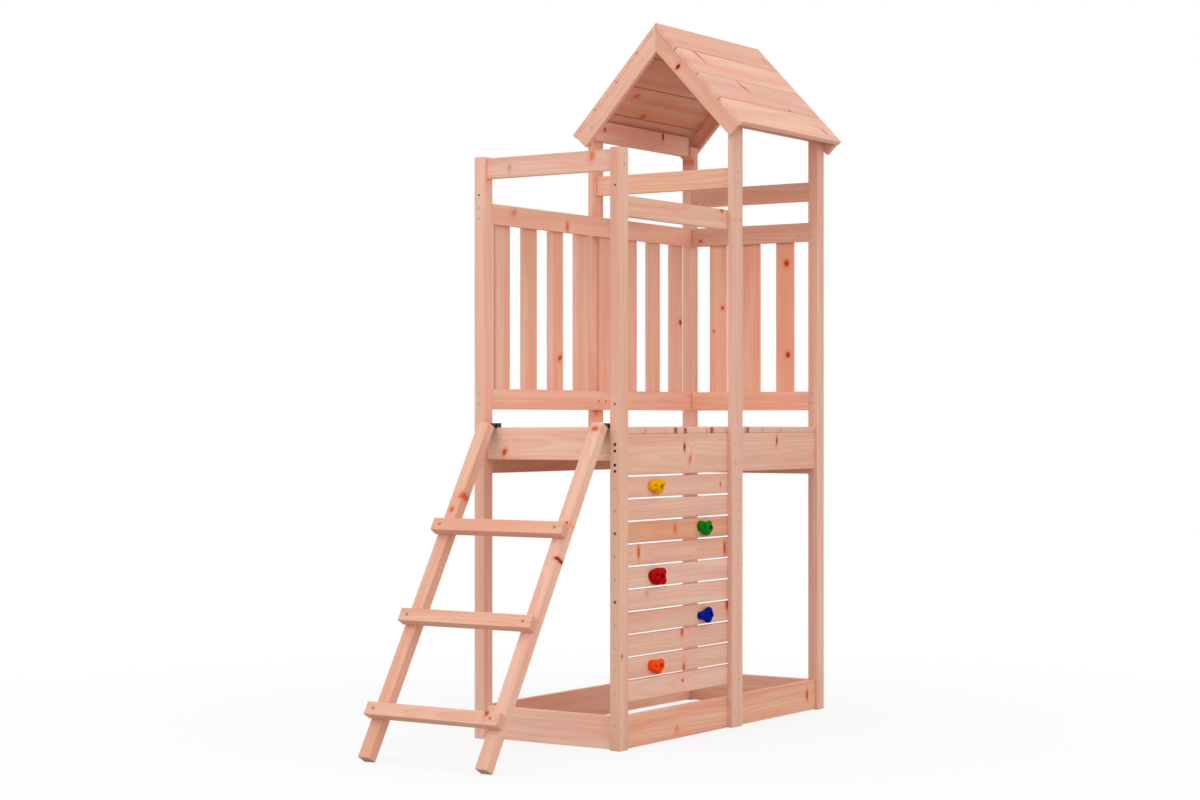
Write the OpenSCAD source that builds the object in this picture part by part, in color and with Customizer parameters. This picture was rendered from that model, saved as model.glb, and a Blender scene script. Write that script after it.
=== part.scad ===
// Wooden climbing frame with a roofed half, a climbing wall, a ladder and a sandbox base.
// X runs across the tower, Y along it from the ladder end to the far end, Z up from the ground.
// Lengths are in millimetres. The ladder faces -Y and the climbing wall faces +X.

/* [Tower] */
// Length of the tower over its corner posts
tower_l = 1105; // [950:5:1400]
// Width of the tower over its corner posts
tower_w = 472; // [420:2:620]
// Height of the platform's top above the ground
platform_z = 840; // [780:5:950]

/* [Posts] */
// Corner post's size across the tower
post_w = 32; // [30:1:45]
// Corner post's size along the tower
post_d = 40; // [36:1:60]
// Height of the two posts at the ladder end
low_post_h = 1571; // [1571:1:1640]
// How much higher than those the posts under the roof are
high_post_h = 129; // [100:1:133]
// Width of the flat middle post along the tower
mid_post_w = 58; // [50:1:70]
// Thickness of the flat middle post
mid_post_t = 15; // [12:1:22]
// From the ladder end to the middle post's near edge
mid_post_y = 558; // [480:2:640]

/* [Boards] */
// Thickness of the boards of base, apron and climbing wall
board_t = 16; // [14:1:18]
// How far the long boards sit behind the outer face of the corner posts
board_recess = 8; // [4:1:10]
// How far the ladder end's boards sit behind the outer face of the posts
end_recess = 12; // [6:1:18]
// Height of the boards round the sandbox
sand_h = 87; // [60:1:100]
// Room between the sandbox boards and the ground
sand_lift = 2; // [1:0.5:6]
// Height of the long aprons that carry the platform
apron_h = 108; // [80:1:120]
// Height of the apron across the ladder end
end_apron_h = 86; // [60:1:110]
// Height of the apron across the far end
far_apron_h = 140; // [60:1:160]

/* [Platform] */
// Thickness of a platform plank
plank_t = 16; // [12:1:22]
// Width that a platform plank aims for
plank_w_aim = 98; // [70:1:130]
// Gap between platform planks
plank_gap = 4; // [2:0.5:8]
// Room behind the ladder end's apron for the ladder's hooks
hook_room = 6; // [5:0.5:12]

/* [Climbing wall] */
// Height of a climbing wall board
wall_board_h = 54; // [48:0.5:54]
// Gap between climbing wall boards
wall_gap = 5.3; // [3:0.1:6]

/* [Rails and fences] */
// Height of every rail board
rail_h = 56; // [45:1:60]
// From the top of the ladder end's posts down to the underside of the rails across the tower
handrail_z = 60; // [60:1:101]
// From those rails' underside down to the underside of the fences' upper rails
fence_top_z = 120; // [71:1:211]
// From the platform's top up to the underside of the fences' lower rails
fence_low_z = 49; // [20:1:120]
// Thickness of the fence rails
fence_rail_t = 12; // [10:1:12]
// Width of a slat in the far end's fence
slat_w = 58; // [45:1:62]
// Width of a slat in the long fence
back_slat_w = 66; // [50:1:70]
// Thickness of a fence slat
slat_t = 12; // [10:1:12]
// How far a slat's ends stay inside the fence rails
slat_inset = 6; // [2:1:15]
// Number of slats in the long fence
back_slat_count = 8; // [6:1:9]
// Number of slats in the far end's fence
far_slat_count = 3; // [2:1:4]

/* [Roof] */
// Height of the ridge above the top of the posts under the roof
ridge_z = 289; // [282:1:310]
// Slope of the roof in degrees
roof_pitch = 46.5; // [46:0.1:47]
// Length of one slope from the ridge to the eave
slope_l = 401; // [380:1:420]
// Thickness of a roof plank
roof_plank_t = 14; // [12:0.5:15]
// Number of planks on one slope
roof_plank_count = 4; // [3:1:5]
// Gap between roof planks
roof_gap = 2; // [1:0.5:4]
// Width of a rafter square to its length
rafter_w = 42; // [40:1:60]
// Thickness of a rafter along the tower
rafter_t = 16; // [12:1:22]
// How far a rafter's foot ends before the eave
rafter_setback = 3; // [0:1:12]
// Height of the board under the eave on the fence's side
back_plate_h = 58; // [45:1:70]
// Height of the board under the eave on the climbing wall's side
front_plate_h = 42; // [36:1:70]

/* [Ladder] */
// Lean of the ladder from the vertical in degrees
ladder_lean = 31; // [28:0.5:34]
// Ladder rail's width across the tower
ladder_rail_w = 36; // [28:1:42]
// Ladder rail's depth square to its slope
ladder_rail_d = 30; // [24:1:40]
// Room between a ladder rail and the corner post beside it
ladder_side_gap = 3; // [2:0.5:10]
// How far the top of the ladder stays in front of the posts
ladder_front_gap = 3.3; // [2:0.1:8]
// Rung's height along the slope
rung_h = 36; // [28:1:44]
// Rung's depth square to the slope
rung_d = 28; // [22:1:36]
// How far a rung reaches past the rails on each side
rung_overhang = 7; // [0:1:15]
// From the ladder's foot to the middle of the first rung
rung_first = 123; // [90:1:150]
// Distance between rungs along the slope
rung_pitch = 265; // [220:1:290]

/* [Ladder hooks] */
// Thickness of the steel strap
hook_t = 3; // [2:0.5:4]
// Width of the steel strap
hook_w = 30; // [20:1:36]
// Length of the strap's leg on the ladder rail
hook_leg_l = 70; // [50:1:100]
// Depth of the lip behind the apron
hook_lip_h = 26; // [15:1:40]
// Height of the saddle between the apron and the strap over it
hook_rise = 9; // [4:1:14]

/* [Climbing holds] */
// Size of a hold along the tower
hold_w = 60; // [50:1:72]
// Height of a hold
hold_h = 48; // [42:1:52]
// How far a hold stands out from its board
hold_d = 30; // [26:1:40]
// From the ladder end to the near column of holds
hold_near_y = 176; // [120:2:240]
// From the ladder end to the far column of holds
hold_far_y = 426; // [360:2:480]
// Diameter of the hold bolt's shank
bolt_d = 8; // [6:1:10]
// Diameter of the hold bolt's head
bolt_head_d = 12; // [12:0.5:16]
// Height of the hold bolt's head
bolt_head_h = 7; // [5:0.5:9]
// Depth of a bolt's head under its hold's face
bolt_sink = 10; // [0:1:12]
// Diameter of the nut's flange behind the board
nut_d = 20; // [18:1:26]
// Thickness of the nut's flange behind the board
nut_t = 3; // [2:0.5:5]

/* [Screws] */
// Diameter of a screw head
screw_d = 8; // [6:0.5:10]
// How far a screw head stands out of the wood
screw_h = 1.2; // [0.8:0.1:2]

/* [Hidden] */
$fn = 48;

// Boards in the climbing wall and rungs in the ladder, one node each
wall_count = 10;
rung_count = 3;

// Clearances and overruns
ridge_gap = 1;
roof_seat_gap = 0.4;
plank_notch_gap = 1;
bore_gap = 0.4;
cut_over = 20;

// Colours
wood = "#E3B29A";
wood_side = "#D9A790";
wood_shade = "#C69580";
steel_dark = "#33363A";
steel = "#A9ABAE";

// Half width and the planes of the long sides, measured from the middle
half_w = tower_w / 2;
post_in_x = half_w - post_w;
board_out_x = half_w - board_recess;
board_in_x = board_out_x - board_t;
mid_out_x = board_out_x + mid_post_t;
slat_in_x = board_out_x - slat_t;
fence_in_x = slat_in_x - fence_rail_t;

// Planes along the tower, measured from the ladder end's outer face
post_back_y = post_d;
far_in_y = tower_l - post_d;
end_out_y = end_recess;
end_in_y = end_out_y + board_t;
far_board_y = far_in_y + board_t;
far_rail_y = far_in_y + fence_rail_t;
far_slat_y = far_rail_y + slat_t;
mid_far_y = mid_post_y + mid_post_w;
mid_rail_y = mid_post_y + (mid_post_w - board_t) / 2;

// Heights
roof_post_z = low_post_h + high_post_h;
ridge_top_z = roof_post_z + ridge_z;
cross_rail_z = low_post_h - handrail_z;
fence_upper_z = cross_rail_z - fence_top_z;
fence_lower_z = platform_z + fence_low_z;
apron_top_z = platform_z - plank_t;
apron_low_z = apron_top_z - apron_h;
wall_pitch = wall_board_h + wall_gap;
sand_top_z = sand_lift + sand_h;

// Ladder in its own slope: y is square to the slope and z runs up it
ladder_l = platform_z / cos(ladder_lean);
ladder_foot_y = -ladder_front_gap - ladder_l * sin(ladder_lean);
ladder_out_x = post_in_x - ladder_side_gap;
ladder_in_x = ladder_out_x - ladder_rail_w;
ladder_mid_x = (ladder_out_x + ladder_in_x) / 2;
rung_half_l = ladder_out_x + rung_overhang;

// The origin stands under the middle of the whole object
reach_low_y = ladder_foot_y - ladder_rail_d * cos(ladder_lean);
reach_high_y = tower_l + rafter_t;
tower_y = -(reach_low_y + reach_high_y) / 2;

// Platform planks fill the run from the hooks' room to the far posts
plank_first_y = end_in_y + hook_room;
plank_run = far_in_y - plank_first_y;
plank_count = max(1, round((plank_run + plank_gap) / (plank_w_aim + plank_gap)));
plank_pitch = (plank_run + plank_gap) / plank_count;
plank_w = plank_pitch - plank_gap;

// Slats: the long fence has half a gap at each end, the far fence a whole one
back_slat_pitch = (far_in_y - post_back_y) / back_slat_count;
far_slat_gap = (2 * post_in_x - far_slat_count * slat_w) / (far_slat_count + 1);
slat_low_z = fence_lower_z + slat_inset;
slat_top_z = fence_upper_z + rail_h - slat_inset;

// Roof: the apex under the planks, and the planks' pitch down the slope
roof_front_y = mid_post_y - rafter_t;
roof_rear_y = tower_l + rafter_t;
under_apex_z = ridge_top_z - roof_plank_t / cos(roof_pitch);
roof_mitre = roof_plank_t * tan(roof_pitch);
roof_pitch_l = (slope_l + roof_mitre) / roof_plank_count;
rafter_l = slope_l - rafter_setback;
plate_top_z = under_apex_z - board_out_x * tan(roof_pitch) - roof_seat_gap;

// Holds: one on every second board, in two columns
hold_boards = [1, 3, 5, 7, 9];
hold_colors = ["#F0B414", "#148A22", "#C8141A", "#1E32A0", "#F5661A"];
// Lobes of each hold as shares of its width, height and depth: place along, place up, radius
hold_lobe_shares = [
    [[-0.20, 0.02, 0.62], [0.20, 0.10, 0.58], [0.02, -0.12, 0.60]],
    [[-0.16, -0.10, 0.60], [0.18, -0.06, 0.62], [0.04, 0.14, 0.58]],
    [[-0.22, 0.00, 0.58], [0.00, 0.12, 0.62], [0.20, -0.08, 0.60]],
    [[-0.18, 0.12, 0.58], [0.20, 0.02, 0.62], [-0.04, -0.14, 0.60]],
    [[-0.20, -0.06, 0.60], [0.02, 0.12, 0.60], [0.20, -0.02, 0.60]]
];
hold_bore_r = bolt_d / 2 + bore_gap;
hold_well_r = bolt_head_d / 2 + bore_gap;
hold_seat = hold_d - bolt_sink - bolt_head_h;

// Screw places: shares of a board's height, and of a face's width
screw_pair_shares = [0.25, 0.75];
screw_side_share = 0.25;
wall_screw_share = 0.6;
rafter_screw_share = 0.5;
hook_screw_shares = [0.25, 0.7];

function wall_low_z(i) = apron_low_z - i * wall_pitch;
function hold_y(i) = i % 2 == 0 ? hold_near_y : hold_far_y;
function hold_z(i) = wall_low_z(hold_boards[i]) + wall_board_h / 2;

// A block between two opposite corners
module block(low, high) {
    translate(low) cube(high - low);
}

// Moves a piece from the ladder end's datum to the object's own origin
module on_tower() {
    translate([0, tower_y, 0]) children();
}

// Stands a piece of the ladder on its slope
module on_ladder() {
    on_tower() translate([0, ladder_foot_y, 0]) rotate([-ladder_lean, 0, 0]) children();
}

// A long board on one side: side is 1 for the climbing wall's side and -1 for the fence's side
module side_board(side, y0, y1, z0, z1) {
    x0 = side > 0 ? board_in_x : -board_out_x;
    on_tower() block([x0, y0, z0], [x0 + board_t, y1, z1]);
}

// A board across the tower between its corner posts
module cross_board(y0, thick, z0, high) {
    on_tower() block([-post_in_x, y0, z0], [post_in_x, y0 + thick, z0 + high]);
}

// Posts
module corner_post(side, y0, high) {
    x0 = side > 0 ? post_in_x : -half_w;
    on_tower() color(wood) block([x0, y0, 0], [x0 + post_w, y0 + post_d, high]);
}

module mid_post(side) {
    x0 = side > 0 ? board_out_x : -mid_out_x;
    z0 = side > 0 ? sand_lift : apron_low_z;
    on_tower() color(wood)
        block([x0, mid_post_y, z0], [x0 + mid_post_t, mid_far_y, roof_post_z]);
}

// Base boards round the sandbox
module sandbox_side(side) {
    color(wood_side) side_board(side, post_back_y, far_in_y, sand_lift, sand_top_z);
}

module sandbox_end(y0) {
    color(wood) cross_board(y0, board_t, sand_lift, sand_h);
}

// Aprons under and round the platform
module apron_side(side) {
    color(wood_side) side_board(side, post_back_y, far_in_y, apron_low_z, apron_top_z);
}

module apron_end(y0, high) {
    color(wood) cross_board(y0, board_t, platform_z - high, high);
}

// Platform planks: the first one is notched round the two ladder end posts
module platform_planks() {
    color(wood_side) on_tower() difference() {
        for (i = [0 : plank_count - 1]) {
            y0 = plank_first_y + i * plank_pitch;
            block([-board_out_x, y0, apron_top_z], [board_out_x, y0 + plank_w, platform_z]);
        }
        for (side = [-1, 1])
            translate([side * half_w, post_back_y + plank_notch_gap - cut_over, platform_z])
                cube([2 * (post_w + plank_notch_gap), 2 * cut_over, 2 * plank_t + cut_over], center = true);
    }
}

// Climbing wall board i counts from the top, and every second one is bored for a hold
module wall_board(i) {
    color(wood_side) difference() {
        side_board(1, post_back_y, mid_far_y - mid_post_t, wall_low_z(i), wall_low_z(i) + wall_board_h);
        for (k = [0 : len(hold_boards) - 1])
            if (hold_boards[k] == i) on_hold(k) hold_bore();
    }
}

// Fences
module fence_rail_back(z0) {
    on_tower() color(wood_shade)
        block([-fence_in_x - fence_rail_t, post_back_y, z0], [-fence_in_x, far_in_y, z0 + rail_h]);
}

module fence_rail_far(z0) {
    color(wood_shade) cross_board(far_in_y, fence_rail_t, z0, rail_h);
}

module fence_slats_back() {
    color(wood_shade) on_tower() for (i = [0 : back_slat_count - 1]) {
        y0 = post_back_y + (i + 1 / 2) * back_slat_pitch - back_slat_w / 2;
        block([-board_out_x, y0, slat_low_z], [-slat_in_x, y0 + back_slat_w, slat_top_z]);
    }
}

module fence_slats_far() {
    color(wood_shade) on_tower() for (i = [0 : far_slat_count - 1]) {
        x0 = -post_in_x + far_slat_gap + i * (slat_w + far_slat_gap);
        block([x0, far_rail_y, slat_low_z], [x0 + slat_w, far_slat_y, slat_top_z]);
    }
}

// Rails to hold on to
module handrail_end(y0) {
    color(wood) cross_board(y0, board_t, cross_rail_z, rail_h);
}

module handrail_middle() {
    on_tower() color(wood) block(
        [-board_out_x, mid_rail_y, cross_rail_z],
        [board_out_x, mid_rail_y + board_t, cross_rail_z + rail_h]
    );
}

module handrail_wall() {
    color(wood_side)
        side_board(1, post_back_y, mid_far_y - mid_post_t, fence_upper_z, fence_upper_z + rail_h);
}

// Stands an outline, drawn across and up, along the tower from y0 over the given length
module along_tower(y0, length) {
    on_tower() translate([0, y0 + length, 0]) rotate([90, 0, 0]) linear_extrude(length) children();
}

// A strip of one slope: from and to run down the slope, low and high are square to it
module slope_strip(side, from, to, low, high) {
    mirror([side > 0 ? 0 : 1, 0]) difference() {
        translate([0, under_apex_z]) rotate(-roof_pitch)
            translate([from, low]) square([to - from, high - low]);
        translate([ridge_gap / 2 - slope_l, under_apex_z - slope_l]) square([slope_l, 2 * slope_l]);
    }
}

module rafter(side, y0) {
    color(wood) along_tower(y0, rafter_t) slope_strip(side, -rafter_w, rafter_l, -rafter_w, 0);
}

module roof_planks(side) {
    color(wood_side) along_tower(roof_front_y, roof_rear_y - roof_front_y)
        for (i = [0 : roof_plank_count - 1]) {
            top = i * roof_pitch_l - roof_mitre + (i == 0 ? 0 : roof_gap / 2);
            foot = (i + 1) * roof_pitch_l - roof_mitre - (i == roof_plank_count - 1 ? 0 : roof_gap / 2);
            slope_strip(side, top, foot, 0, roof_plank_t);
        }
}

module eave_plate(side, high) {
    color(wood_shade) side_board(side, mid_post_y, far_in_y, plate_top_z - high, plate_top_z);
}

// Ladder
module ladder_rail(side) {
    x0 = side > 0 ? ladder_in_x : -ladder_out_x;
    color(wood) on_ladder() block([x0, -ladder_rail_d, 0], [x0 + ladder_rail_w, 0, ladder_l]);
}

module ladder_rung(i) {
    z0 = rung_first + (i - 1) * rung_pitch - rung_h / 2;
    color(wood) on_ladder()
        block([-rung_half_l, -ladder_rail_d - rung_d, z0], [rung_half_l, -ladder_rail_d, z0 + rung_h]);
}

// Bent straps screwed behind the ladder rails, resting with a saddle on the ladder end's apron
module ladder_hooks() {
    color(steel_dark) for (side = [-1, 1]) {
        x0 = side * ladder_mid_x - hook_w / 2;
        x1 = x0 + hook_w;
        lip_y = end_in_y + hook_t;
        over_l = hook_rise + hook_t;
        bend_y = over_l * sin(ladder_lean) - ladder_front_gap;
        top_z = platform_z + over_l;
        union() {
            on_ladder() block([x0, 0, ladder_l - hook_leg_l], [x1, hook_t, ladder_l + over_l]);
            on_tower() block([x0, bend_y, platform_z + hook_rise], [x1, lip_y, top_z]);
            on_tower() block([x0, end_out_y, platform_z], [x1, lip_y, top_z]);
            on_tower() block([x0, end_in_y, platform_z - hook_lip_h], [x1, lip_y, top_z]);
        }
    }
}

// Stands a piece of hold i on its board, with x pointing out of the wall
module on_hold(i) {
    on_tower() translate([board_out_x, hold_y(i), hold_z(i)]) children();
}

// The hole through a hold's board
module hold_bore() {
    translate([-board_t - cut_over, 0, 0]) rotate([0, 90, 0])
        cylinder(r = hold_bore_r, h = board_t + hold_d + 2 * cut_over);
}

module hold(i) {
    color(hold_colors[i]) on_hold(i) difference() {
        intersection() {
            hull() for (s = hold_lobe_shares[i])
                translate([0, s[0] * hold_w, s[1] * hold_h]) sphere(r = s[2] * hold_h, $fn = 32);
            translate([0, -hold_w / 2, -hold_h / 2]) cube([hold_d, hold_w, hold_h]);
        }
        hold_bore();
        translate([hold_seat, 0, 0]) rotate([0, 90, 0]) cylinder(r = hold_well_r, h = hold_d);
    }
}

module hold_bolts() {
    color(steel) for (i = [0 : len(hold_boards) - 1]) on_hold(i) rotate([0, 90, 0]) {
        translate([0, 0, hold_seat]) cylinder(d = bolt_head_d, h = bolt_head_h);
        translate([0, 0, -board_t - nut_t]) cylinder(d = bolt_d, h = board_t + nut_t + hold_seat);
    }
}

module hold_nuts() {
    color(steel) for (i = [0 : len(hold_boards) - 1]) on_hold(i)
        translate([-board_t - nut_t, 0, 0]) rotate([0, 90, 0]) difference() {
            cylinder(d = nut_d, h = nut_t);
            translate([0, 0, -cut_over]) cylinder(r = hold_bore_r, h = nut_t + 2 * cut_over);
        }
}

// A screw head on the face at place p, standing out along the turned z axis
module screw(p, turn) {
    translate(p) rotate(turn) cylinder(d = screw_d, h = screw_h);
}

// A pair of screw heads, one above the other, on a board's height
module screw_pair(x, y, z0, high, turn) {
    for (s = screw_pair_shares) screw([x, y, z0 + s * high], turn);
}

// Screws through the end faces of the corner posts into the long boards, on one side
module end_face_screws(side) {
    x = side * (half_w - post_w / 2);
    to_front = [90, 0, 0];
    to_rear = [-90, 0, 0];
    screw_pair(x, 0, sand_lift, sand_h, to_front);
    screw_pair(x, 0, apron_low_z, apron_h, to_front);
    screw_pair(x, 0, fence_upper_z, rail_h, to_front);
    screw_pair(x, tower_l, sand_lift, sand_h, to_rear);
    screw_pair(x, tower_l, apron_low_z, apron_h, to_rear);
    if (side > 0) for (i = [1 : wall_count]) screw([x, 0, wall_low_z(i) + wall_board_h / 2], to_front);
    if (side < 0) {
        screw_pair(x, 0, fence_lower_z, rail_h, to_front);
        screw_pair(x, tower_l, fence_lower_z, rail_h, to_rear);
        screw_pair(x, tower_l, fence_upper_z, rail_h, to_rear);
    }
}

// Screws through the outer faces of the posts into the boards across the tower
module side_face_screws(side) {
    turn = [0, side * 90, 0];
    x = side * half_w;
    near_y = end_out_y + board_t / 2;
    far_y = far_in_y + board_t / 2;
    mid_x = side * mid_out_x;
    mid_y = mid_post_y + mid_post_w / 2;
    screw_pair(x, near_y, platform_z - end_apron_h, end_apron_h, turn);
    screw_pair(x, far_y, platform_z - far_apron_h, far_apron_h, turn);
    for (y = [near_y, far_y]) {
        screw_pair(x, y, sand_lift, sand_h, turn);
        screw_pair(x, y, cross_rail_z, rail_h, turn);
    }
    screw_pair(x, far_y, fence_lower_z, rail_h, turn);
    screw_pair(x, far_y, fence_upper_z, rail_h, turn);
    screw_pair(mid_x, mid_y, cross_rail_z, rail_h, turn);
    for (s = [-screw_side_share, screw_side_share]) {
        y = mid_y + s * mid_post_w;
        screw_pair(mid_x, y, apron_low_z, apron_h, turn);
        if (side > 0) screw([mid_x, y, sand_lift + sand_h / 2], turn);
        screw([mid_x, y, fence_upper_z + rail_h / 2], turn);
    }
    if (side > 0) for (i = [1 : wall_count])
        screw_pair(mid_x, mid_post_y + wall_screw_share * mid_post_w, wall_low_z(i), wall_board_h, turn);
}

// One screw near each rafter's foot, into the post behind it
module rafter_screws(side) {
    x = side * (half_w - post_w * rafter_screw_share);
    z = under_apex_z - abs(x) * tan(roof_pitch) - rafter_w * rafter_screw_share / cos(roof_pitch);
    screw([x, roof_front_y, z], [90, 0, 0]);
    screw([x, roof_rear_y, z], [-90, 0, 0]);
}

module frame_screws() {
    color(steel) on_tower() for (side = [-1, 1]) {
        end_face_screws(side);
        side_face_screws(side);
        rafter_screws(side);
    }
}

module ladder_screws() {
    color(steel) on_ladder() for (side = [-1, 1]) {
        for (i = [0 : rung_count - 1])
            screw([side * ladder_mid_x, -ladder_rail_d - rung_d, rung_first + i * rung_pitch], [90, 0, 0]);
        for (s = hook_screw_shares)
            screw([side * ladder_mid_x, hook_t, ladder_l - s * hook_leg_l], [-90, 0, 0]);
    }
}

corner_post(-1, 0, low_post_h);  // post_ladder_back
corner_post(1, 0, low_post_h);  // post_ladder_front
mid_post(-1);  // post_mid_back
mid_post(1);  // post_mid_front
corner_post(-1, far_in_y, roof_post_z);  // post_far_back
corner_post(1, far_in_y, roof_post_z);  // post_far_front
sandbox_side(-1);  // sandbox_board_back
sandbox_side(1);  // sandbox_board_front
sandbox_end(end_out_y);  // sandbox_board_ladder
sandbox_end(far_in_y);  // sandbox_board_far
apron_side(-1);  // apron_back
apron_side(1);  // apron_front
apron_end(end_out_y, end_apron_h);  // apron_ladder
apron_end(far_in_y, far_apron_h);  // apron_far
platform_planks();
for (i = [1 : wall_count])
    wall_board(i);
fence_rail_back(fence_upper_z);  // fence_rail_back_upper
fence_rail_back(fence_lower_z);  // fence_rail_back_lower
fence_rail_far(fence_upper_z);  // fence_rail_far_upper
fence_rail_far(fence_lower_z);  // fence_rail_far_lower
fence_slats_back();
fence_slats_far();
handrail_end(end_out_y);  // handrail_ladder
handrail_middle();
handrail_end(far_in_y);  // handrail_far
handrail_wall();
rafter(-1, roof_front_y);  // rafter_front_left
rafter(1, roof_front_y);  // rafter_front_right
rafter(-1, tower_l);  // rafter_rear_left
rafter(1, tower_l);  // rafter_rear_right
roof_planks(-1);  // roof_planks_left
roof_planks(1);  // roof_planks_right
eave_plate(-1, back_plate_h);  // eave_plate_back
eave_plate(1, front_plate_h);  // eave_plate_front
ladder_rail(-1);  // ladder_rail_left
ladder_rail(1);  // ladder_rail_right
for (i = [1 : rung_count])
    ladder_rung(i);
ladder_hooks();
hold(0);  // hold_yellow
hold(1);  // hold_green
hold(2);  // hold_red
hold(3);  // hold_blue
hold(4);  // hold_orange
hold_bolts();
hold_nuts();
frame_screws();
ladder_screws();
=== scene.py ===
"""Looks of a wooden climbing frame: a roofed tower with fence, climbing wall, ladder and sandbox base.

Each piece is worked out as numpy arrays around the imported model's nodes, in metres and in its frame.
X runs across the tower, Y along it from the ladder end, Z up from the ground.
"""

import math
import zlib

import bpy
import numpy as np
from bpy.props import FloatProperty, FloatVectorProperty, PointerProperty
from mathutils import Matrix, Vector


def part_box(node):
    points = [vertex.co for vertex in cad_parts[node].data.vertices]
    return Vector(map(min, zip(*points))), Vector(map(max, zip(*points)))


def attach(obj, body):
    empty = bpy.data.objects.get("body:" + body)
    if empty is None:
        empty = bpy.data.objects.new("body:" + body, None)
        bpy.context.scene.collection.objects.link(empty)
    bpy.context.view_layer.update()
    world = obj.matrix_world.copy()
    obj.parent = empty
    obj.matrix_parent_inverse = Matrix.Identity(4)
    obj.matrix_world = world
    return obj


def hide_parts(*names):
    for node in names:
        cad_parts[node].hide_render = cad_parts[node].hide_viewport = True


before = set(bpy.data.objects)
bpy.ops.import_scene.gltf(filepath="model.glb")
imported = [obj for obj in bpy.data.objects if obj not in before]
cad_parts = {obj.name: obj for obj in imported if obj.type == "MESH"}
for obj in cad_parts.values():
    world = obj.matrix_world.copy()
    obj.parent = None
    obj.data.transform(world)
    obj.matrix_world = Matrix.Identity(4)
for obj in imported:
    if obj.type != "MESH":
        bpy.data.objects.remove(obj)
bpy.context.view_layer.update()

bl_info = {
    "name": "Climbing frame looks",
    "version": (1, 0, 0),
    "blender": (4, 5, 0),
    "location": "View3D > Sidebar > Climbing frame",
    "description": "Dresses the packed climbing frame in fir, plastic holds and zinc screws",
    "category": "Object",
}

BODY = "root"
X, Y, Z = np.eye(3)
MM = 0.001


def srgb(red, green, blue):
    """Linear colour from screen values of 0 to 255, by the usual curve of a straight foot and a power."""
    c = np.array([red, green, blue]) / 255
    return tuple(np.where(c <= 0.04045, c / 12.92, ((c + 0.055) / 1.055) ** 2.4))


def colour_prop(name, text, rgb):
    """A colour that the user can change, given by its screen values."""
    return FloatVectorProperty(
        name=name, description=text, subtype="COLOR", size=3, min=0, max=1, default=srgb(*rgb)
    )


def length_prop(name, text, value):
    """A length in metres that the user can change."""
    return FloatProperty(name=name, description=text, default=value, min=0, unit="LENGTH", precision=4)


def number_prop(name, text, value):
    """A plain number that the user can change."""
    return FloatProperty(name=name, description=text, default=value, precision=4)


# Sizes and colours that a user would change


class FirSettings(bpy.types.PropertyGroup):
    """Finish of the fir boards."""

    arris: length_prop("Arris", "Radius of a board's eased edges", 0.0022)
    roof_arris: length_prop("Roof arris", "Radius of a roof board's eased edges", 0.0012)
    ring_pitch: length_prop("Ring pitch", "Middle distance between growth rings", 0.0052)
    pale: colour_prop("Early wood", "Pale wood between the rings", (240, 195, 170))
    rose: colour_prop("Rose streaks", "Broad pinkish streaks along the grain", (231, 172, 147))
    late: colour_prop("Late wood", "Darker line that ends each ring", (212, 148, 121))
    blush: colour_prop("Blush", "Pink patches", (240, 162, 146))
    honey: colour_prop("Honey", "Yellower patches", (228, 186, 150))
    end_grain: colour_prop("End grain", "Wood that is cut across", (216, 158, 131))
    halo: colour_prop("Knot halo", "Resin-stained wood round a knot", (232, 136, 94))
    knot: colour_prop("Knot", "Live knot", (210, 92, 50))
    dark_knot: colour_prop("Dark knot", "Dead knot", (122, 10, 2))


class HoldSettings(bpy.types.PropertyGroup):
    """Colours of the climbing holds."""

    yellow: colour_prop("Yellow", "First hold from the top", (248, 172, 0))
    green: colour_prop("Green", "Second hold from the top", (6, 128, 12))
    red: colour_prop("Red", "Third hold from the top", (186, 0, 6))
    blue: colour_prop("Blue", "Fourth hold from the top", (0, 22, 150))
    orange: colour_prop("Orange", "Lowest hold", (255, 80, 0))


class SteelSettings(bpy.types.PropertyGroup):
    """Finish and sizes of the fasteners and the hook straps."""

    zinc: colour_prop("Zinc", "Plating of screws, bolts and nuts", (202, 193, 184))
    strap: colour_prop("Strap", "Dark coating of the ladder's hook straps", (46, 49, 53))
    screw_r: length_prop("Screw radius", "Radius of a screw head", 0.0042)
    screw_h: length_prop("Screw height", "How far a screw head stands out", 0.0012)


class StageSettings(bpy.types.PropertyGroup):
    """Floor, light and camera."""

    floor: colour_prop("Floor", "Colour of the floor as it is seen", (236, 236, 236))
    bounce: colour_prop(
        "Floor bounce", "Colour of the floor in the light that it throws back", (184, 184, 184)
    )
    sky: number_prop("Sky strength", "Strength of the light from all round", 0.98)
    key: number_prop("Key strength", "Power of the large lamp in front, in watts", 45.0)
    fill: number_prop("Fill strength", "Power of the lamp on the wall's side, in watts", 33.0)
    lens: number_prop("Lens", "Focal length on a sensor 36 mm wide", 70.798)
    heading: number_prop("Heading", "Camera's turn to the left of +Y, in degrees", 33.864)
    shift: number_prop("Shift", "Upward shift as a share of the picture's width", 0.01596)
    eye: FloatVectorProperty(
        name="Eye", description="Place of the camera", subtype="TRANSLATION", size=3,
        unit="LENGTH", default=(3.6026, -5.4040, 0.8626),
    )


# Nodes of materials


def feed(tree, node, inputs):
    """Links or sets each named input of a node."""
    for key, value in inputs.items():
        if isinstance(value, bpy.types.NodeSocket):
            tree.links.new(value, node.inputs[key])
        else:
            node.inputs[key].default_value = value


def add_node(tree, kind, inputs=(), **settings):
    """Adds a node, sets its options, and links or sets each named input."""
    made = tree.nodes.new("ShaderNode" + kind)
    for key, value in settings.items():
        setattr(made, key, value)
    feed(tree, made, dict(inputs))
    return made


def calc(tree, operation, a, b=0.0, c=0.0):
    """One step of arithmetic."""
    return add_node(tree, "Math", {0: a, 1: b, 2: c}, operation=operation).outputs[0]


def times(tree, a, b):
    """The product of two values."""
    return calc(tree, "MULTIPLY", a, b)


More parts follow.
